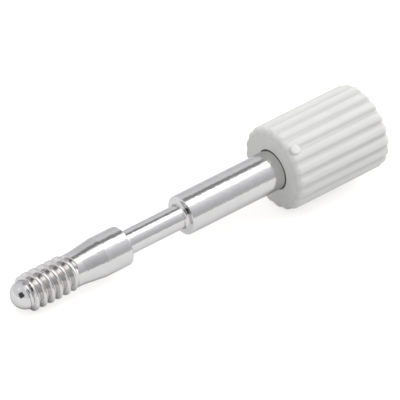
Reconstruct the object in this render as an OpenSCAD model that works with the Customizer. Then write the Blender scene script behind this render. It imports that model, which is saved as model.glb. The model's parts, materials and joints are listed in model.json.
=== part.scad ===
// Captive thumb screw: a turned and threaded steel stem with a ribbed plastic knob moulded on its end.
//
// Both pieces are drawn on the screw's own axis, with the tip of the nose at z = 0 and the knob upwards. They are
// then laid down the way the screw comes to rest on a table: on its first thread and on two ribs of the knob's
// front rim, with the knob towards +X. The origin is on the table, under the middle of the screw's bounding box.

/* [Nose] */
// Height of the domed tip
nose_h = 0.4; // [0.3:0.05:0.6]
// Diameter of the dome at its foot
nose_d = 1.7; // [1.5:0.02:2]
// Length of the chamfer that leads from the dome up to the thread
lead_l = 0.56; // [0.4:0.02:0.8]

/* [Thread] */
// Outside diameter of the thread
thread_d = 2.82; // [2.6:0.02:3.2]
// Length of the threaded stretch at its full outside diameter
thread_l = 3.8; // [2:0.1:8]
// Distance between neighbouring crests
thread_pitch = 0.7; // [0.6:0.05:0.9]
// Depth of the thread's groove
thread_depth = 0.4; // [0.2:0.02:0.46]
// Width of the flat at the bottom of the groove
groove_floor_w = 0.1; // [0.04:0.01:0.14]
// Angle between the two flanks of the groove
flank_angle = 60; // [40:1:60]
// Distance from the tip to the middle of the groove where the groove begins
groove_start = 0.61; // [0.2:0.01:0.7]
// Direction in which the groove begins, counted from straight down
groove_turn = 110; // [-180:1:180]
// Stretch over which the groove deepens at the tip, in turns
lead_in_turns = 0.3; // [0.2:0.05:1]
// Stretch over which the groove ends near the collar, in turns
lead_out_turns = 0.12; // [0.05:0.01:0.5]
// Turns by which the groove runs on into the relief
groove_past = 0.12; // [0:0.01:0.2]

/* [Relief and collar] */
// Length of the slope from the last thread down to the relief
run_out_l = 0.25; // [0.1:0.05:0.5]
// Diameter of the plain relief behind the thread
relief_d = 2.56; // [2.2:0.02:2.7]
// Length of the relief
relief_l = 0.65; // [0.3:0.05:1]
// Length of the cone that widens to the collar
cone_l = 1.95; // [1:0.05:4]
// Diameter of the collar
collar_d = 3.02; // [2.9:0.02:3.4]
// Length of the collar
collar_l = 2.2; // [1:0.05:4]
// Width of the broken edge at the collar's back
collar_edge = 0.1; // [0.05:0.01:0.2]

/* [Neck and shank] */
// Diameter of the thin neck that a captive panel or hood slides along
neck_d = 1.82; // [1.4:0.02:2.2]
// Length of the neck
neck_l = 5.4; // [2:0.1:12]
// Radius of the fillet between the neck and the shank's front face
neck_fillet_r = 0.28; // [0.1:0.02:0.5]
// Diameter of the shank
shank_d = 3; // [2.8:0.02:3.4]
// Length of the shank in front of the knob
shank_l = 8.4; // [4:0.1:16]
// Width of the chamfer on the shank's front edge
shank_chamfer = 0.05; // [0.02:0.01:0.3]

/* [Stem inside the knob] */
// Diameter of the stem from the knob's front face inwards
seat_d = 2.6; // [2.4:0.02:2.7]
// Length of that diameter behind the recess, where the plastic closes on it
seat_l = 0.5; // [0.3:0.05:1]
// Diameter at the bottom of the groove that stops the knob from pulling off
lock_d = 2.2; // [1.8:0.05:2.5]
// Width of that groove
lock_l = 1; // [0.6:0.05:1.6]
// Outside diameter of the straight knurl that stops the knob from turning
knurl_d = 3; // [2.7:0.02:3.2]
// Depth of the knurl's teeth
knurl_depth = 0.18; // [0.1:0.01:0.25]
// Number of the knurl's teeth
knurl_teeth = 24; // [18:1:32]
// Length of the knurl
knurl_l = 4; // [2:0.1:5]

/* [Knob] */
// Outside diameter of the knob over its ribs
knob_d = 6.52; // [6:0.02:8]
// Length of the knob
knob_l = 8.4; // [7.6:0.1:12]
// Number of ribs
rib_count = 20; // [16:2:24]
// Depth of the flutes between the ribs
flute_depth = 0.24; // [0.1:0.01:0.3]
// Smallest gap between the rounded sides of two ribs
rib_gap = 0.03; // [0.02:0.01:0.1]
// Width of the land along the top of a rib
rib_land_w = 0.2; // [0.1:0.01:0.3]
// Radius of the knob's rounded front and back rims
rim_r = 0.42; // [0.3:0.01:0.6]
// Gap round the shank in the recess in the knob's front face
recess_gap = 0.06; // [0.05:0.01:0.3]
// Depth of that recess
recess_depth = 0.8; // [0.4:0.05:1.5]

/* [Gate mark] */
// Diameter of the round gate mark on the knob
gate_d = 0.84; // [0.4:0.02:1]
// Height of the gate mark over the ribs
gate_h = 0.1; // [0.01:0.01:0.2]
// Distance of the gate mark's middle behind the knob's front face
gate_back = 0.6; // [0.5:0.01:1]
// Direction of the gate mark, counted from straight down
gate_turn = 215; // [0:1:359]

/* [Hidden] */
$fn = 96;

nose_r = nose_d / 2;
thread_r = thread_d / 2;
relief_r = relief_d / 2;
collar_r = collar_d / 2;
neck_r = neck_d / 2;
shank_r = shank_d / 2;
seat_r = seat_d / 2;
lock_r = lock_d / 2;
knurl_r = knurl_d / 2;
knob_r = knob_d / 2;

// Distances from the tip along the axis, each where the stretch it is named for begins
thread_z = nose_h + lead_l;
run_out_z = thread_z + thread_l;
relief_z = run_out_z + run_out_l;
cone_z = relief_z + relief_l;
collar_z = cone_z + cone_l;
neck_z = collar_z + collar_l;
shank_z = neck_z + neck_l;
knob_z = shank_z + shank_l;
lock_z = knob_z + recess_depth + seat_l;
knurl_z = lock_z + lock_l;
stem_end_z = knurl_z + knurl_l;
knob_end_z = knob_z + knob_l;

// Centre of the fillet between neck and shank, and the angle between the points that it is drawn with
fillet_centre = [neck_r + neck_fillet_r, shank_z - neck_fillet_r];
fillet_step = 15;

// Radius of the ball that the domed tip is a cap of
dome_r = (nose_r * nose_r + nose_h * nose_h) / (2 * nose_h);

// The thread's groove: bottom radius, steps round one turn, how far its cutter stands clear of the crests, and the
// number of turns it makes
groove_r = thread_r - thread_depth;
groove_steps = 24;
cutter_clear = 0.12;
thread_turns = (relief_z - groove_start) / thread_pitch + groove_past;

// Half the angle between two ribs, the radius of their rounded sides, and how far out that rounding is centred. With
// a flute straight down, the nearest ribs stand the half angle to each side.
rib_half = 180 / rib_count;
rib_round = (knob_r * sin(rib_half) - rib_gap / 2) / (1 + sin(rib_half));
rib_centre_r = knob_r - sqrt(rib_round * rib_round - rib_land_w * rib_land_w / 4);

// How the screw lies: the table touches the first full crest and the two lowest ribs where they round the rim
seat_angle = rib_half - asin(rib_land_w / 2 / knob_r);
rim_centre = [knob_z + rim_r, (knob_r - rim_r) * cos(seat_angle)];
crest = [thread_z, thread_r];
rim_reach = norm(rim_centre - crest);
rest_tilt = atan2(rim_centre[1] - crest[1], rim_centre[0] - crest[0]) + asin(rim_r / rim_reach);
tip_up = crest[1] * cos(rest_tilt) - crest[0] * sin(rest_tilt);
box_low = dome_r * (cos(rest_tilt) - 1);
box_high = (knob_end_z - rim_r) * cos(rest_tilt) + rim_centre[1] * sin(rest_tilt) + rim_r;
tip_back = (box_low + box_high) / 2;

// Lays down what is drawn on the upright axis. Upright +x becomes down and upright +z runs from tip to knob.
module laid_down() {
    translate([-tip_back, 0, tip_up]) rotate([0, 90 - rest_tilt, 0]) children();
}

// Half section of the plain turned stem
module stem_section() {
    intersection() {
        translate([0, dome_r]) circle(dome_r);
        square([nose_r, nose_h]);
    }
    polygon([
        [0, nose_h],
        [nose_r, nose_h],
        [thread_r, thread_z],
        [thread_r, run_out_z],
        [relief_r, relief_z],
        [relief_r, cone_z],
        [collar_r, collar_z],
        [collar_r, neck_z - collar_edge],
        [collar_r - collar_edge, neck_z],
        [neck_r, neck_z],
        each [for (a = [0 : fillet_step : 90]) fillet_centre + neck_fillet_r * [-cos(a), sin(a)]],
        [shank_r - shank_chamfer, shank_z],
        [shank_r, shank_z + shank_chamfer],
        [shank_r, knob_z],
        [seat_r, knob_z],
        [seat_r, lock_z],
        [lock_r, lock_z],
        [lock_r, knurl_z],
        [0, knurl_z]
    ]);
}

// How far the groove's cutter is lifted out of the steel, from 1 where it is clear to 0 at full depth
function lift(turn) = max(0, 1 - turn / lead_in_turns, 1 - (thread_turns - turn) / lead_out_turns);

// One section of the cutter after a number of turns: two corners on the groove's floor, then two outside the steel
function groove_ring(turn) =
    let (
        floor_r = groove_r + (thread_depth + cutter_clear) * lift(turn),
        open_r = floor_r + thread_depth + cutter_clear,
        open_w = groove_floor_w + 2 * (open_r - floor_r) * tan(flank_angle / 2),
        z = groove_start + turn * thread_pitch,
        a = groove_turn + 360 * turn
    )
    [
        for (corner = [[floor_r, -groove_floor_w], [floor_r, groove_floor_w], [open_r, open_w], [open_r, -open_w]])
            [corner[0] * cos(a), corner[0] * sin(a), z + corner[1] / 2]
    ];

// The solid that winds round the stem and leaves the thread standing between its turns
module groove_cutter() {
    steps = ceil(thread_turns * groove_steps);
    last = 4 * steps;
    points = [for (i = [0 : steps]) each groove_ring(thread_turns * i / steps)];
    sides = [
        for (i = [0 : steps - 1], k = [0 : 3])
            let (
                near_a = 4 * i + k,
                near_b = 4 * i + (k + 1) % 4,
                far_a = near_a + 4,
                far_b = near_b + 4
            )
            each [[near_a, far_b, near_b], [near_a, far_a, far_b]]
    ];
    caps = [[0, 1, 2], [0, 2, 3], [last + 2, last + 1, last], [last + 3, last + 2, last]];
    polyhedron(points, concat(sides, caps));
}

// Straight knurl on the end of the stem
module knurl() {
    tooth = 360 / knurl_teeth;
    outline = [
        for (i = [0 : knurl_teeth - 1])
            each [
                knurl_r * [cos(i * tooth), sin(i * tooth)],
                (knurl_r - knurl_depth) * [cos((i + 0.5) * tooth), sin((i + 0.5) * tooth)]
            ]
    ];
    translate([0, 0, knurl_z]) linear_extrude(knurl_l) polygon(outline);
}

// The stem before its thread is cut, which is also what the knob is moulded round
module stem_blank() {
    rotate_extrude() stem_section();
    knurl();
}

module screw_stem() {
    color("silver") laid_down() {
        difference() {
            stem_blank();
            groove_cutter();
        }
    }
}

// A drum as long as the knob, with rounded rims
module drum(r, round_r) {
    flat_r = r - round_r;
    rotate_extrude() {
        square([flat_r, knob_l]);
        translate([0, round_r]) square([r, knob_l - 2 * round_r]);
        translate([flat_r, round_r]) circle(round_r);
        translate([flat_r, knob_l - round_r]) circle(round_r);
    }
}

// The ribs all round, before their ends are rounded
module ribs() {
    for (i = [0 : rib_count - 1])
        rotate([0, 0, rib_half * (2 * i + 1)]) translate([rib_centre_r, 0, 0]) cylinder(knob_l, r = rib_round);
}

// Small raised disc where the mould was filled, square to the knob's surface
module gate_mark() {
    root_r = knob_r - 2 * flute_depth;
    rotate([0, 0, gate_turn]) translate([root_r, 0, gate_back]) rotate([0, 90, 0])
        cylinder(knob_r + gate_h - root_r, r = gate_d / 2);
}

module knob() {
    color("gainsboro") laid_down() difference() {
        translate([0, 0, knob_z]) {
            drum(knob_r - flute_depth, rim_r);
            intersection() {
                drum(knob_r, rim_r);
                ribs();
            }
            gate_mark();
        }
        stem_blank();
        translate([0, 0, knob_z - recess_gap]) cylinder(recess_depth + recess_gap, r = shank_r + recess_gap);
    }
}

screw_stem();
knob();
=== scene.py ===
import json
import math

import bmesh
import bpy
from mathutils import Matrix, Quaternion, Vector


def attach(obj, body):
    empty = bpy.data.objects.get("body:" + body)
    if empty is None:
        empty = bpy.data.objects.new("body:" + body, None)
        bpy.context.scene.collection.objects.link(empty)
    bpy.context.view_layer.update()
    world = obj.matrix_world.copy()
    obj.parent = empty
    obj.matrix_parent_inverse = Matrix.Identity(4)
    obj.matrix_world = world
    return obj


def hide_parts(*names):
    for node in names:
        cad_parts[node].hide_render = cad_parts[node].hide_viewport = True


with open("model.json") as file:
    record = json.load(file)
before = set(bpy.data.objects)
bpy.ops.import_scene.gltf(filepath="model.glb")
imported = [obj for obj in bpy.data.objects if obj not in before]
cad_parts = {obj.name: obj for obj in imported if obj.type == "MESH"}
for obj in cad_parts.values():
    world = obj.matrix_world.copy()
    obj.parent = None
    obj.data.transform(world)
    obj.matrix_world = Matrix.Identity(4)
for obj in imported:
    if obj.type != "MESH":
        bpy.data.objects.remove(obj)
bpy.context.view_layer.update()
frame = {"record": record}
mounts = {mount["name"]: mount for mount in frame["record"]["mounts"]}
mm = 0.001  # metres
nearby = 0.001  # mm, two lengths this close are the same
weld = 0.0005  # mm, points this close become one
sharpAngle = 38  # degrees, above which an edge stays crisp

# the turned stem

stemSize = {
    "noseHeight": 0.4,
    "noseBack": 0.004,  # keeps the smooth dome inside the faceted one
    "noseRadius": 0.85,
    "capHeight": 0.1,  # the top of the dome, which is closed ring by ring
    "capRings": 8,
    "leadLength": 0.56,
    "threadRadius": mounts["thread"]["dims"]["r_mm"],
    "threadLength": mounts["thread"]["dims"]["length_mm"],
    "pitch": 0.7,
    "grooveDepth": 0.4,
    "grooveFloor": 0.1,
    "flankAngle": 60,
    "grooveStart": 0.61,
    "grooveTurn": 110,  # degrees, counted from straight down
    "groovePast": 0.12,  # turns that it runs on into the relief
    "grooveClear": 0.12,  # how far it is lifted clear of the steel at its ends
    "leadIn": 0.3,  # turns
    "leadOut": 0.12,  # turns
    "runOut": 0.25,
    "reliefRadius": 1.28,
    "reliefLength": 0.65,
    "coneLength": 1.95,
    "collarRadius": mounts["collar"]["dims"]["r_mm"],
    "collarLength": mounts["collar"]["dims"]["length_mm"],  # in front of its broken edge
    "collarEdge": 0.1,
    "neckRadius": mounts["neck"]["dims"]["r_mm"],
    "neckLength": mounts["neck"]["dims"]["length_mm"],  # in front of its fillet
    "neckFillet": 0.28,
    "shankRadius": mounts["shank"]["dims"]["r_mm"],
    "shankLength": mounts["shank"]["dims"]["length_mm"],  # behind its chamfer
    "shankChamfer": 0.05,
    "seatRadius": 1.3,
    "seatLength": 1.3,  # with the recess
    "lockRadius": 1.1,
    "lockLength": 1.0,
    "endRadius": 1.41,
    "endLength": 4.0,
    "stepsPerTurn": 144,
    "rowsPerPitch": 28,
    "turnsSpun": 10,
    "turnsBefore": 2,  # those that start in front of the groove
    "roundOff": 0.05,
    "crestRound": 0.045,
    "leadRound": 0.2,
    "roundSteps": 6,
    "guard": 0.01,  # from a rounding to the ring that keeps the flat beside it flat
}


def stemPlaces():
    # height over the tip at which each stretch of the stem begins
    stem = stemSize
    stretches = (
        ("lead", stem["noseHeight"]),
        ("thread", stem["leadLength"]),
        ("runOut", stem["threadLength"]),
        ("relief", stem["runOut"]),
        ("cone", stem["reliefLength"]),
        ("collar", stem["coneLength"]),
        ("neck", stem["collarLength"] + stem["collarEdge"]),
        ("shank", stem["neckLength"] + stem["neckFillet"]),
        ("knob", stem["shankChamfer"] + stem["shankLength"]),
        ("lock", stem["seatLength"]),
        ("knurl", stem["lockLength"]),
        ("end", stem["endLength"]),
    )
    places, height = {}, 0
    for name, length in stretches:
        height += length
        places[name] = height
    return places


at = stemPlaces()
joinHeight = at["relief"] + stemSize["reliefLength"] / 2  # where the thread's mesh meets the plain rings


def screwPlace():
    # everything is modelled upright in millimetres, tip at zero and knob upwards,
    # and then laid down with this matrix
    along = -Vector(mounts["thread"]["axis"]).normalized()
    across = Vector((0, 1, 0))
    down = across.cross(along)
    threadMiddle = at["thread"] + stemSize["threadLength"] / 2
    tip = Vector(mounts["thread"]["pos_m"]) - along * threadMiddle * mm
    turn = Matrix((down, across, along)).transposed().to_4x4()
    return Matrix.Translation(tip) @ turn @ Matrix.Scale(mm, 4)


def makePiece(name, bm, finish, stands):
    bmesh.ops.transform(bm, matrix=screwPlace(), verts=bm.verts)
    bmesh.ops.recalc_face_normals(bm, faces=bm.faces)
    for face in bm.faces:
        face.smooth = True
    mesh = bpy.data.meshes.new(name)
    bm.to_mesh(mesh)
    bm.free()
    mesh.set_sharp_from_angle(angle=math.radians(sharpAngle))
    mesh.materials.append(finish)
    piece = bpy.data.objects.new(name, mesh)
    bpy.context.scene.collection.objects.link(piece)
    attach(piece, "root")
    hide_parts(stands)
    print(name, "has", len(mesh.polygons), "faces")
    return piece


def softMin(a, b, blend):
    # the smaller of the two, rounded off where they come within the blend
    near = max(blend - abs(a - b), 0) / blend
    return min(a, b) - near * near * blend / 4


def softMax(a, b, blend):
    return -softMin(-a, -b, blend)


def atAngle(radius, angle, height):
    return radius * math.cos(angle), radius * math.sin(angle), height


def angleOf(vert):
    return math.atan2(vert.co.y, vert.co.x)


def ballRadius():
    # the domed tip is a cap of this ball
    stem = stemSize
    return (stem["noseRadius"] ** 2 + stem["noseHeight"] ** 2) / (2 * stem["noseHeight"])


def plainRadius(height):
    # radius of the nose, thread blank and relief before the thread is rolled
    stem = stemSize
    slope = (stem["threadRadius"] - stem["noseRadius"]) / stem["leadLength"]
    lead = stem["threadRadius"] + (height - at["thread"]) * slope
    fall = (stem["threadRadius"] - stem["reliefRadius"]) / stem["runOut"]
    runOut = stem["threadRadius"] - (height - at["runOut"]) * fall
    radius = softMin(lead, stem["threadRadius"], stem["leadRound"])
    radius = softMin(radius, runOut, stem["roundOff"])
    radius = softMax(radius, stem["reliefRadius"], stem["roundOff"])
    back, ball = height - stem["noseBack"], ballRadius()
    if back < ball:
        radius = softMin(radius, math.sqrt(max(0, 2 * ball * back - back * back)), stem["roundOff"] / 2)
    return radius


def grooveRadius(height, turn):
    # radius of the thread's groove at this height and this many turns round, or nothing outside the groove
    stem = stemSize
    length = (at["relief"] - stem["grooveStart"]) / stem["pitch"] + stem["groovePast"]
    passes = round((height - stem["grooveStart"]) / stem["pitch"] - turn)
    along = turn + passes
    if along <= 0 or along >= length:
        return None
    lift = max(0, 1 - along / stem["leadIn"], 1 - (length - along) / stem["leadOut"])
    floor = stem["threadRadius"] - stem["grooveDepth"] + (stem["grooveDepth"] + stem["grooveClear"]) * lift
    aside = abs(height - stem["grooveStart"] - along * stem["pitch"]) - stem["grooveFloor"] / 2
    flank = aside / math.tan(math.radians(stem["flankAngle"] / 2))
    return floor + softMax(flank, 0, stem["roundOff"])


def spinTurns(bm):
    # a line one pitch long is spun up the axis, so that its rows follow the thread, and the turns are merged
    stem = stemSize
    turnsBack = stem["grooveTurn"] / 360 + stem["turnsBefore"]
    first = stem["grooveStart"] - stem["pitch"] * turnsBack
    row = stem["pitch"] / stem["rowsPerPitch"]
    heights = [first + number * row for number in range(stem["rowsPerPitch"] + 1)]
    line = [bm.verts.new((stem["reliefRadius"], 0, height)) for height in heights]
    edges = [bm.edges.new(pair) for pair in zip(line, line[1:])]
    bmesh.ops.spin(
        bm,
        geom=line + edges,
        cent=(0, 0, 0),
        axis=(0, 0, 1),
        dvec=(0, 0, stem["pitch"] / stem["stepsPerTurn"]),
        angle=2 * math.pi,
        steps=stem["stepsPerTurn"],
        use_merge=False,
        use_duplicate=False,
    )
    oneTurn = bm.verts[:] + bm.edges[:] + bm.faces[:]
    for turn in range(1, stem["turnsSpun"]):
        copy = bmesh.ops.duplicate(bm, geom=oneTurn)["geom"]
        raised = [part for part in copy if isinstance(part, bmesh.types.BMVert)]
        bmesh.ops.translate(bm, vec=(0, 0, turn * stem["pitch"]), verts=raised)
    bmesh.ops.remove_doubles(bm, verts=bm.verts, dist=row / 8)
    for height, above in ((stem["capHeight"], False), (joinHeight, True)):
        bmesh.ops.bisect_plane(
            bm,
            geom=bm.verts[:] + bm.edges[:] + bm.faces[:],
            dist=row / 50,
            plane_co=(0, 0, height),
            plane_no=(0, 0, 1),
            clear_outer=above,
            clear_inner=not above,
        )
    bmesh.ops.remove_doubles(bm, verts=bm.verts, dist=row / 20)


def rollThread(bm, hollow):
    # each point moves to the groove or the plain outside, and keeps how deep it lies in the groove as its
    # share of painted shade
    stem = stemSize
    for vert in bm.verts:
        angle = angleOf(vert)
        radius = plainRadius(vert.co.z)
        groove = grooveRadius(vert.co.z, (math.degrees(angle) - stem["grooveTurn"]) / 360)
        if groove is not None:
            # painted shade: the deeper a point lies in the groove, the darker its steel is painted
            vert[hollow] = min(1, max(0, radius - groove) / stem["grooveDepth"])
            radius = softMin(radius, groove, stem["crestRound"])
        vert.co = atAngle(radius, angle, vert.co.z)


def rimEdges(bm, height):
    loose = [edge for edge in bm.edges if edge.is_boundary]
    return [edge for edge in loose if all(abs(vert.co.z - height) < nearby for vert in edge.verts)]


def drawOut(bm, edges, radius, height):
    # extrudes an open rim to a new radius and height
    made = bmesh.ops.extrude_edge_only(bm, edges=edges)["geom"]
    for vert in [part for part in made if isinstance(part, bmesh.types.BMVert)]:
        vert.co = atAngle(radius, angleOf(vert), height)
    return [part for part in made if isinstance(part, bmesh.types.BMEdge) and part.is_boundary]


def roundedRings(corners):
    # rings of a turned outline, each corner rounded by a short curve with a guard ring on either side
    stem = stemSize
    rings = []
    for number, (radius, height, rounding) in enumerate(corners):
        corner = Vector((radius, height))
        if not rounding:
            rings.append(corner)
            continue
        before = (Vector(corners[number - 1][:2]) - corner).normalized()
        after = (Vector(corners[number + 1][:2]) - corner).normalized()
        start, stop = corner + before * rounding, corner + after * rounding
        rings.append(start + before * stem["guard"])
        for step in range(stem["roundSteps"] + 1):
            share = step / stem["roundSteps"]
            rings.append(start.lerp(corner, share).lerp(corner.lerp(stop, share), share))
        rings.append(stop + after * stem["guard"])
    return rings


def stemRun():
    # radius, height and rounding of each corner from the relief to the end inside the knob
    stem = stemSize
    return [
        (stem["reliefRadius"], joinHeight + stem["guard"], 0),
        (stem["reliefRadius"], at["cone"], 0.15),
        (stem["collarRadius"], at["collar"], 0.06),
        (stem["collarRadius"], at["neck"] - stem["collarEdge"], 0.03),
        (stem["collarRadius"] - stem["collarEdge"], at["neck"], 0.02),
        (stem["neckRadius"], at["neck"], 0.05),
        (stem["neckRadius"], at["shank"], stem["neckFillet"]),
        (stem["shankRadius"] - stem["shankChamfer"], at["shank"], 0.02),
        (stem["shankRadius"], at["shank"] + stem["shankChamfer"], 0.02),
        (stem["shankRadius"], at["knob"], 0.01),
        (stem["seatRadius"], at["knob"], 0),
        (stem["seatRadius"], at["lock"], 0),
        (stem["lockRadius"], at["lock"], 0),
        (stem["lockRadius"], at["knurl"], 0),
        (stem["endRadius"], at["knurl"], 0),
        (stem["endRadius"], at["end"], 0),
    ]


def closeDome(bm):
    # rings of the ball up to the last one, which one face closes
    stem, ball = stemSize, ballRadius()
    rim = rimEdges(bm, stem["capHeight"])
    capAngle = math.acos(1 - (stem["capHeight"] - stem["noseBack"]) / ball)
    for ring in range(1, stem["capRings"]):
        angle = capAngle * (1 - ring / stem["capRings"])
        rim = drawOut(bm, rim, ball * math.sin(angle), stem["noseBack"] + ball * (1 - math.cos(angle)))
    bmesh.ops.contextual_create(bm, geom=rim)


def makeStem(finish):
    bm = bmesh.new()
    # share of painted shade at each point, by its depth in the thread's groove
    hollow = bm.verts.layers.float.new("hollow")
    spinTurns(bm)
    rollThread(bm, hollow)
    rim = rimEdges(bm, joinHeight)
    for radius, height in roundedRings(stemRun()):
        rim = drawOut(bm, rim, radius, height)
    bmesh.ops.contextual_create(bm, geom=rim)
    closeDome(bm)
    return makePiece("turned_stem", bm, finish, "screw_stem")


# the moulded knob

knobSize = {
    "radius": 3.26,
    "length": 8.4,
    "ribs": 20,
    "fluteDepth": 0.24,
    "ribGap": 0.03,
    "ribLand": 0.2,
    "rim": 0.42,
    "recessGap": 0.06,
    "recessDepth": 0.8,
    "recessEdge": 0.03,
    "faceRings": (2.2, 2.6),  # radii of the rings that keep both end faces flat
    "stepsPerRib": 32,
    "rimRows": 12,
    "blend": 0.05,
    "frontShare": 0.35,  # share of the flutes' depth at the front rim
    "frontFade": 0.7,
}


def drumRadius(radius, rim, inward):
    # radius of a drum with a rounded rim, this far in from its end
    if inward >= rim:
        return radius
    return radius - rim + math.sqrt(max(0, rim * rim - (rim - inward) ** 2))


def ribTop(height):
    knob = knobSize
    return drumRadius(knob["radius"], knob["rim"], max(0, min(height, knob["length"] - height)))


def knobRadius(height, angle):
    # outside of the knob: soft ribs on a slightly thinner drum, both rounded at the ends
    knob = knobSize
    inset = knob["radius"] - ribTop(height)
    share = knob["frontShare"] + (1 - knob["frontShare"]) * min(1, height / knob["frontFade"])
    depth = knob["fluteDepth"] * share
    half = math.pi / knob["ribs"]
    rounding = (knob["radius"] * math.sin(half) - knob["ribGap"] / 2) / (1 + math.sin(half))
    centre = knob["radius"] - math.sqrt(rounding**2 - knob["ribLand"] ** 2 / 4)
    off = (angle % (2 * half)) - half
    side = rounding**2 - (centre * math.sin(off)) ** 2
    rib = centre * math.cos(off) + math.sqrt(side) if side > 0 else 0
    rib = softMin(rib, knob["radius"], knob["blend"])
    return softMax(knob["radius"] - depth, rib, knob["blend"]) - inset


def knobSection():
    # half section from the bottom of the pocket that the stem fills, round the outside,
    # to the middle of the back
    knob, stem = knobSize, stemSize
    lock, knurl, end = (at[name] - at["knob"] for name in ("lock", "knurl", "end"))
    recess = stem["shankRadius"] + knob["recessGap"]
    inner, outer = knob["faceRings"]
    inside = [
        (0, end),
        (stem["endRadius"], end),
        (stem["endRadius"], knurl),
        (stem["lockRadius"], knurl),
        (stem["lockRadius"], lock),
        (stem["seatRadius"], lock),
        (stem["seatRadius"], knob["recessDepth"]),
        (recess, knob["recessDepth"]),
        (recess, knob["recessEdge"]),
        (recess + knob["recessEdge"], 0),
        (inner, 0),
        (outer, 0),
    ]
    rim = []
    for row in range(knob["rimRows"] + 1):
        angle = math.pi / 2 * row / knob["rimRows"]
        rim.append((knob["radius"], knob["rim"] * (1 - math.cos(angle))))
    back = [(radius, knob["length"] - height) for radius, height in reversed(rim)]
    return inside + rim + back + [(outer, knob["length"]), (inner, knob["length"]), (0, knob["length"])]


def makeKnob(finish):
    knob = knobSize
    bm = bmesh.new()
    hollow = bm.verts.layers.float.new("hollow")
    line = [bm.verts.new((radius, 0, height)) for radius, height in knobSection()]
    edges = [bm.edges.new(pair) for pair in zip(line, line[1:])]
    bmesh.ops.spin(
        bm,
        geom=line + edges,
        cent=(0, 0, 0),
        axis=(0, 0, 1),
        angle=2 * math.pi / knob["ribs"],
        steps=knob["stepsPerRib"],
        use_merge=False,
        use_duplicate=False,
    )
    bmesh.ops.spin(
        bm,
        geom=bm.verts[:] + bm.edges[:] + bm.faces[:],
        cent=(0, 0, 0),
        axis=(0, 0, 1),
        angle=2 * math.pi * (1 - 1 / knob["ribs"]),
        steps=knob["ribs"] - 1,
        use_merge=False,
        use_duplicate=True,
    )
    bmesh.ops.remove_doubles(bm, verts=bm.verts, dist=weld)
    outside = [vert for vert in bm.verts if vert.co.xy.length > knob["radius"] - nearby]
    for vert in outside:
        angle = angleOf(vert)
        radius = knobRadius(vert.co.z, angle)
        # painted shade: the deeper a point lies in a flute, the darker the plastic is painted
        vert[hollow] = min(1, max(0, ribTop(vert.co.z) - radius) / knob["fluteDepth"])
        vert.co = atAngle(radius, angle, vert.co.z)
    bmesh.ops.translate(bm, vec=(0, 0, at["knob"]), verts=bm.verts)
    return makePiece("moulded_knob", bm, finish, "knob")


gateSize = {
    "radius": 0.41,
    "topRadius": 0.29,
    "rise": 0.095,  # over the ribs
    "taperDepth": 0.01,  # how far under the tops of the ribs the taper starts
    "back": 0.6,  # behind the knob's front face
    "turn": 215,  # degrees, counted from straight down
    "edge": 0.03,
    "steps": 48,
}


def makeGate(finish):
    # the small raised disc where the mould was filled, as a tapered button with its foot in the knob
    gate, knob = gateSize, knobSize
    top = knob["radius"] + gate["rise"]
    foot = knob["radius"] - 2 * knob["fluteDepth"]
    taperFrom = knob["radius"] - gate["taperDepth"]
    bm = bmesh.new()
    hollow = bm.verts.layers.float.new("hollow")
    wide, narrow = gate["radius"], gate["topRadius"]
    outline = [(0, foot), (wide, foot), (wide, taperFrom), (narrow, top), (0, top)]
    line = [bm.verts.new((radius, 0, height)) for radius, height in outline]
    edges = [bm.edges.new(pair) for pair in zip(line, line[1:])]
    bmesh.ops.spin(
        bm,
        geom=line + edges,
        cent=(0, 0, 0),
        axis=(0, 0, 1),
        angle=2 * math.pi,
        steps=gate["steps"],
        use_merge=True,
        use_duplicate=False,
    )
    bmesh.ops.remove_doubles(bm, verts=bm.verts, dist=weld)
    onTop = [edge for edge in bm.edges if all(vert.co.z > top - nearby for vert in edge.verts)]
    rim = [edge for edge in onTop if all(vert.co.xy.length > narrow / 2 for vert in edge.verts)]
    bmesh.ops.bevel(
        bm,
        geom=rim,
        offset=gate["edge"],
        affect="EDGES",
        segments=3,
        profile=0.5,
        material=-1,
    )
    # painted shadow: the gate's wall, below the tops of the ribs, takes the full painted shade of the flutes
    for vert in bm.verts:
        vert[hollow] = 1 if vert.co.z < knob["radius"] else 0
    outwards = Matrix.Rotation(math.radians(gate["turn"]), 4, "Z") @ Matrix.Rotation(math.pi / 2, 4, "Y")
    raised = Matrix.Translation((0, 0, at["knob"] + gate["back"]))
    bmesh.ops.transform(bm, matrix=raised @ outwards, verts=bm.verts)
    return makePiece("gate_mark", bm, finish, "knob")


# node helpers


def newMaterial(name):
    material = bpy.data.materials.new(name)
    material.use_nodes = True
    return material, material.node_tree.nodes, material.node_tree.links


def addNode(nodes, kind, **settings):
    node = nodes.new("ShaderNode" + kind)
    for setting, value in settings.items():
        setattr(node, setting, value)
    return node


def mathNode(nodes, links, operation, *terms):
    node = addNode(nodes, "Math", operation=operation)
    for socket, term in zip(node.inputs, terms):
        if isinstance(term, (int, float)):
            socket.default_value = term
        else:
            links.new(term, socket)
    return node.outputs[0]


def dotWith(nodes, links, direction, axis):
    node = addNode(nodes, "VectorMath", operation="DOT_PRODUCT")
    links.new(direction, node.inputs[0])
    node.inputs[1].default_value = axis
    return node.outputs["Value"]


def fade(nodes, links, value, span, tones=(0, 1)):
    # turns a value that runs over the span into one that runs between the two tones
    change = addNode(nodes, "MapRange")
    for name, number in zip(("From Min", "From Max", "To Min", "To Max"), (*span, *tones)):
        change.inputs[name].default_value = number
    links.new(value, change.inputs["Value"])
    return change.outputs["Result"]


def blendTone(nodes, links, share, first, second):
    mix = addNode(nodes, "MixRGB")
    links.new(share, mix.inputs["Fac"])
    for socket, tone in zip(mix.inputs[1:], (first, second)):
        if isinstance(tone, tuple):
            socket.default_value = (*tone, 1)
        else:
            links.new(tone, socket)
    return mix.outputs["Color"]


# finishes

noiseSpan = (0.3, 0.7)  # where nearly all of a noise lies


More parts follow.
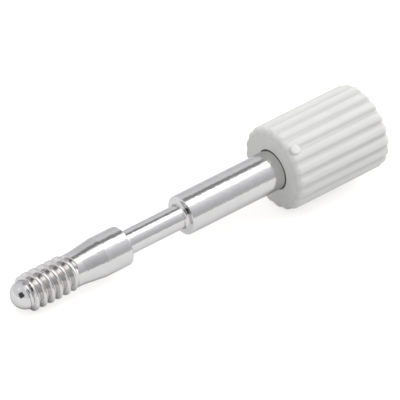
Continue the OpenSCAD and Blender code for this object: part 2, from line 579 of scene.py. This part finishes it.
def axisGrain(nodes, links, scale, detail):
    # noise whose three scales run along the screw and across it, in grains per millimetre
    where = addNode(nodes, "TexCoord")
    turn = addNode(nodes, "Mapping")
    turn.inputs["Rotation"].default_value = (0, math.asin(-mounts["thread"]["axis"][2]), 0)
    spread = addNode(nodes, "Mapping")
    spread.inputs["Scale"].default_value = [each / mm for each in scale]
    grain = addNode(nodes, "TexNoise")
    grain.inputs["Scale"].default_value = 1
    grain.inputs["Detail"].default_value = detail
    links.new(where.outputs["Object"], turn.inputs["Vector"])
    links.new(turn.outputs["Vector"], spread.inputs["Vector"])
    links.new(spread.outputs["Vector"], grain.inputs["Vector"])
    return grain.outputs["Fac"]


def mottle(nodes, links, scale, tone, share):
    # the tone, a little darker in some places than in others
    cloud = fade(nodes, links, axisGrain(nodes, links, scale, detail=3), noiseSpan)
    return blendTone(nodes, links, cloud, tuple(each * share for each in tone), tone)


def paintedShadeTone(nodes, links, tone, shadeTone, share):
    # the tone, turning into a painted shade towards the bottom of a groove or flute
    depth = addNode(nodes, "Attribute", attribute_name="hollow")
    shadeShare = mathNode(nodes, links, "MULTIPLY", depth.outputs["Fac"], share)
    return blendTone(nodes, links, shadeShare, tone, shadeTone)


def raiseBy(nodes, links, value, height, before=None):
    bump = addNode(nodes, "Bump")
    bump.inputs["Strength"].default_value = 1
    bump.inputs["Distance"].default_value = height * mm
    links.new(value, bump.inputs["Height"])
    if before:
        links.new(before, bump.inputs["Normal"])
    return bump.outputs["Normal"]


steelFinish = {
    "tone": (0.665, 0.66, 0.66),
    "mottle": 0.95,
    "edge": (0.72, 0.72, 0.74),  # how much of the light it keeps where it turns away
    # painted shade: the steel is painted darker and warmer down in the thread's grooves
    "grooveTone": (0.58, 0.55, 0.53),
    "grooveShare": (0.2, 1),  # how much of that painted shade a groove takes, from place to place
    "shine": (0.05, 0.11),  # roughness, least and most
    "ripple": 0.012,  # mm, height of its fine unevenness
    "turning": 0.0012,  # mm, height of the marks left by turning
    "cloudScale": (1.2, 1.2, 1.2),
    "speckleScale": (9, 4, 4),
    "streakScale": (6, 1.5, 1.5),
    "rippleScale": (5, 5, 5),
    "turningScale": (22, 0.4, 0.4),
}


def platedSteel():
    finish = steelFinish
    material, nodes, links = newMaterial("bright plated steel")
    surface = nodes["Principled BSDF"]
    surface.inputs["Metallic"].default_value = 1
    surface.inputs["Specular Tint"].default_value = (*finish["edge"], 1)
    tone = mottle(nodes, links, finish["cloudScale"], finish["tone"], finish["mottle"])
    speckle = axisGrain(nodes, links, finish["speckleScale"], detail=2)
    taken = fade(nodes, links, speckle, noiseSpan, finish["grooveShare"])
    # base colour with the painted shade of the grooves, by the depth kept on the mesh
    links.new(paintedShadeTone(nodes, links, tone, finish["grooveTone"], taken), surface.inputs["Base Color"])
    streak = axisGrain(nodes, links, finish["streakScale"], detail=2)
    links.new(fade(nodes, links, streak, noiseSpan, finish["shine"]), surface.inputs["Roughness"])
    ripple = axisGrain(nodes, links, finish["rippleScale"], detail=2)
    rippled = raiseBy(nodes, links, ripple, finish["ripple"])
    marks = axisGrain(nodes, links, finish["turningScale"], detail=1)
    turned = raiseBy(nodes, links, marks, finish["turning"], rippled)
    links.new(turned, surface.inputs["Normal"])
    return material


plasticFinish = {
    "tone": (0.85, 0.85, 0.825),
    "mottle": 0.96,
    # painted shade: the plastic is painted darker down in the flutes and on the gate's wall
    "fluteTone": (0.69, 0.685, 0.655),
    "shine": (0.38, 0.52),  # roughness, least and most
    "refraction": 1.47,
    "grain": 0.006,  # mm, height of its fine grain
    "cloudScale": (0.5, 1.1, 1.1),
    "patchScale": (2, 2, 2),
    "grainScale": (4, 6, 6),
}


def mouldedPlastic():
    finish = plasticFinish
    material, nodes, links = newMaterial("off-white moulded plastic")
    surface = nodes["Principled BSDF"]
    surface.inputs["IOR"].default_value = finish["refraction"]
    tone = mottle(nodes, links, finish["cloudScale"], finish["tone"], finish["mottle"])
    # base colour with the painted shade of the flutes, by the depth kept on the mesh
    links.new(paintedShadeTone(nodes, links, tone, finish["fluteTone"], 1), surface.inputs["Base Color"])
    patch = axisGrain(nodes, links, finish["patchScale"], detail=2)
    links.new(fade(nodes, links, patch, noiseSpan, finish["shine"]), surface.inputs["Roughness"])
    grain = axisGrain(nodes, links, finish["grainScale"], detail=3)
    links.new(raiseBy(nodes, links, grain, finish["grain"]), surface.inputs["Normal"])
    return material


makeStem(platedSteel())
plastic = mouldedPlastic()
makeKnob(plastic)
makeGate(plastic)

# floor, light and camera

floorSize = {
    "side": 40,  # metres, so that its far edge lies on the horizon
    "tone": 0.62,
    "glowTone": (1, 0.99, 0.97),
    "glow": 0.66,  # added where the camera looks, so that the paper is white
    "shine": 0.45,  # added where the metal looks
    "shade": 0.9,  # mm, how near the screw has to be to take that away
    "shadeSamples": 8,
}


def paleFloor():
    floor = floorSize
    material, nodes, links = newMaterial("pale floor")
    nodes.remove(nodes["Principled BSDF"])
    paper = addNode(nodes, "BsdfDiffuse")
    paper.inputs["Color"].default_value = (floor["tone"],) * 3 + (1,)
    glow = addNode(nodes, "Emission")
    glow.inputs["Color"].default_value = (*floor["glowTone"], 1)
    path = addNode(nodes, "LightPath")
    seen = mathNode(nodes, links, "MULTIPLY", path.outputs["Is Camera Ray"], floor["glow"])
    shade = addNode(nodes, "AmbientOcclusion", samples=floor["shadeSamples"])
    shade.inputs["Distance"].default_value = floor["shade"] * mm
    shine = mathNode(nodes, links, "MULTIPLY", shade.outputs["AO"], floor["shine"])
    strength = mathNode(nodes, links, "MULTIPLY_ADD", path.outputs["Is Glossy Ray"], shine, seen)
    links.new(strength, glow.inputs["Strength"])
    both = addNode(nodes, "AddShader")
    links.new(paper.outputs[0], both.inputs[0])
    links.new(glow.outputs[0], both.inputs[1])
    links.new(both.outputs[0], nodes["Material Output"].inputs["Surface"])
    return material


def makeFloor():
    bm = bmesh.new()
    bmesh.ops.create_grid(bm, x_segments=1, y_segments=1, size=floorSize["side"] / 2)
    mesh = bpy.data.meshes.new("floor")
    bm.to_mesh(mesh)
    bm.free()
    mesh.materials.append(paleFloor())
    floor = bpy.data.objects.new("floor", mesh)
    bpy.context.scene.collection.objects.link(floor)


tent = {
    "bands": [
        # share of the way from the back horizon over the top to the front horizon, and the tone there
        (0.0, (0.78, 0.78, 0.81)),
        (0.25, (0.88, 0.88, 0.91)),
        (0.29, (0.72, 0.72, 0.74)),
        (0.31, (0.36, 0.36, 0.36)),
        (0.38, (0.31, 0.31, 0.30)),
        (0.41, (0.58, 0.58, 0.57)),
        (0.433, (1.15, 1.15, 1.13)),
        (0.465, (2.3, 2.3, 2.28)),
        (0.585, (2.3, 2.3, 2.3)),
        (0.62, (1.32, 1.32, 1.33)),
        (0.65, (1.13, 1.13, 1.14)),
        (0.68, (0.98, 0.98, 0.99)),
        (0.72, (0.88, 0.88, 0.90)),
        (0.78, (0.76, 0.76, 0.78)),
        (0.86, (0.65, 0.65, 0.67)),
        (0.92, (0.60, 0.60, 0.61)),
        (0.96, (0.62, 0.62, 0.62)),
        (1.0, (0.75, 0.75, 0.74)),
    ],
    # the spans below are places along the tent, from minus one at the tip's side to one at the knob's
    "dullSpan": (0.22, 0.42),
    "dull": 0.84,  # brightness of the bands on the tip's side of that span
    "tipSpan": (0.15, -0.1),
    "tipTone": (0.88, 0.88, 0.90),  # instead of the bands, on the tip's side of that span
    "knobSpan": (0.6, 0.8),
    "knobBoost": 1.95,  # brightness of the tent on the knob's side of that span
    "squares": [
        # a dark opening and a small lamp on the tip's side, each with its direction,
        # half its width at a distance of one, its turn in degrees and its tone
        ((-0.867, -0.30, 0.40), 0.38, 45, 0.08),
        ((-0.64, 0.36, 0.67), 0.14, 45, 1.2),
    ],
}


def bandTone(nodes, links, parts):
    # the bands run along the screw and change from back to front
    toFront = mathNode(nodes, links, "MULTIPLY", parts.outputs["Y"], -1)
    lean = mathNode(nodes, links, "ARCTAN2", toFront, parts.outputs["Z"])
    share = mathNode(nodes, links, "MULTIPLY_ADD", lean, 1 / math.pi, 0.5)
    ramp = addNode(nodes, "ValToRGB")
    bar = ramp.color_ramp.elements
    for place, tone in tent["bands"][2:]:
        bar.new(place)
    for stop, (place, tone) in zip(bar, tent["bands"]):
        stop.position = place
        stop.color = (*tone, 1)
    links.new(share, ramp.inputs["Fac"])
    band = addNode(nodes, "VectorMath", operation="SCALE")
    links.new(ramp.outputs["Color"], band.inputs[0])
    duller = fade(nodes, links, parts.outputs["X"], tent["dullSpan"], (tent["dull"], 1))
    links.new(duller, band.inputs["Scale"])
    return band.outputs["Vector"]


def insideSquare(nodes, links, direction, centre, reach, turn):
    # one inside a square on the tent and nought outside it
    centre = Vector(centre).normalized()
    level = centre.cross(Vector((0, 0, 1))).normalized()
    level.rotate(Quaternion(centre, math.radians(turn)))
    upright = level.cross(centre)
    ahead = dotWith(nodes, links, direction, centre)
    inside = []
    for axis in (level, upright):
        off = mathNode(nodes, links, "DIVIDE", dotWith(nodes, links, direction, axis), ahead)
        off = mathNode(nodes, links, "ABSOLUTE", off)
        inside.append(mathNode(nodes, links, "LESS_THAN", off, reach))
    both = mathNode(nodes, links, "MULTIPLY", *inside)
    facing = mathNode(nodes, links, "GREATER_THAN", ahead, 0)
    return mathNode(nodes, links, "MULTIPLY", both, facing)


def lightTent():
    world = bpy.data.worlds.new("soft studio")
    bpy.context.scene.world = world
    world.use_nodes = True
    nodes, links = world.node_tree.nodes, world.node_tree.links
    direction = addNode(nodes, "TexCoord").outputs["Generated"]
    parts = addNode(nodes, "SeparateXYZ")
    links.new(direction, parts.inputs[0])
    tipwards = fade(nodes, links, parts.outputs["X"], tent["tipSpan"])
    tone = blendTone(nodes, links, tipwards, bandTone(nodes, links, parts), tent["tipTone"])
    for centre, reach, turn, squareTone in tent["squares"]:
        inside = insideSquare(nodes, links, direction, centre, reach, turn)
        tone = blendTone(nodes, links, inside, tone, (squareTone,) * 3)
    light = nodes["Background"]
    links.new(tone, light.inputs["Color"])
    boost = fade(nodes, links, parts.outputs["X"], tent["knobSpan"], (1, tent["knobBoost"]))
    links.new(boost, light.inputs["Strength"])
    white = addNode(nodes, "Background")  # what the camera sees behind the screw
    white.inputs["Color"].default_value = (1, 1, 1, 1)
    path = addNode(nodes, "LightPath")
    mix = addNode(nodes, "MixShader")
    links.new(path.outputs["Is Camera Ray"], mix.inputs["Fac"])
    links.new(light.outputs[0], mix.inputs[1])
    links.new(white.outputs[0], mix.inputs[2])
    links.new(mix.outputs[0], nodes["World Output"].inputs["Surface"])


viewSize = {
    "azimuth": 41.12,  # degrees, looking along +Y and turned towards +X
    "elevation": 35.70,
    "roll": 4.06,
    "target": (0.757, -0.061, 3.268),  # mm, the point in the middle of the picture
    "frameWidth": 28.571,  # mm across the picture at the target
    "lens": 1000,
    "sensor": 36,
    "clip": (0.01, 10),
}


def placeCamera():
    view = viewSize
    azimuth, elevation, roll = (math.radians(view[name]) for name in ("azimuth", "elevation", "roll"))
    ahead = Vector((math.sin(azimuth), math.cos(azimuth), 0))
    forward = ahead * math.cos(elevation) - Vector((0, 0, math.sin(elevation)))
    level = Vector((math.cos(azimuth), -math.sin(azimuth), 0))
    upright = level.cross(forward)
    right = level * math.cos(roll) + upright * math.sin(roll)
    up = right.cross(forward)
    lens = bpy.data.cameras.new("camera")
    lens.lens = view["lens"]
    lens.sensor_width = view["sensor"]
    lens.clip_start, lens.clip_end = view["clip"]
    camera = bpy.data.objects.new("camera", lens)
    bpy.context.scene.collection.objects.link(camera)
    distance = view["frameWidth"] * mm * view["lens"] / view["sensor"]
    turn = Matrix((right, up, -forward)).transposed().to_4x4()
    camera.matrix_world = Matrix.Translation(Vector(view["target"]) * mm - forward * distance) @ turn
    bpy.context.scene.camera = camera


makeFloor()
lightTent()
placeCamera()
bpy.context.scene.view_settings.view_transform = "Standard"
print("floor, light and camera are ready")
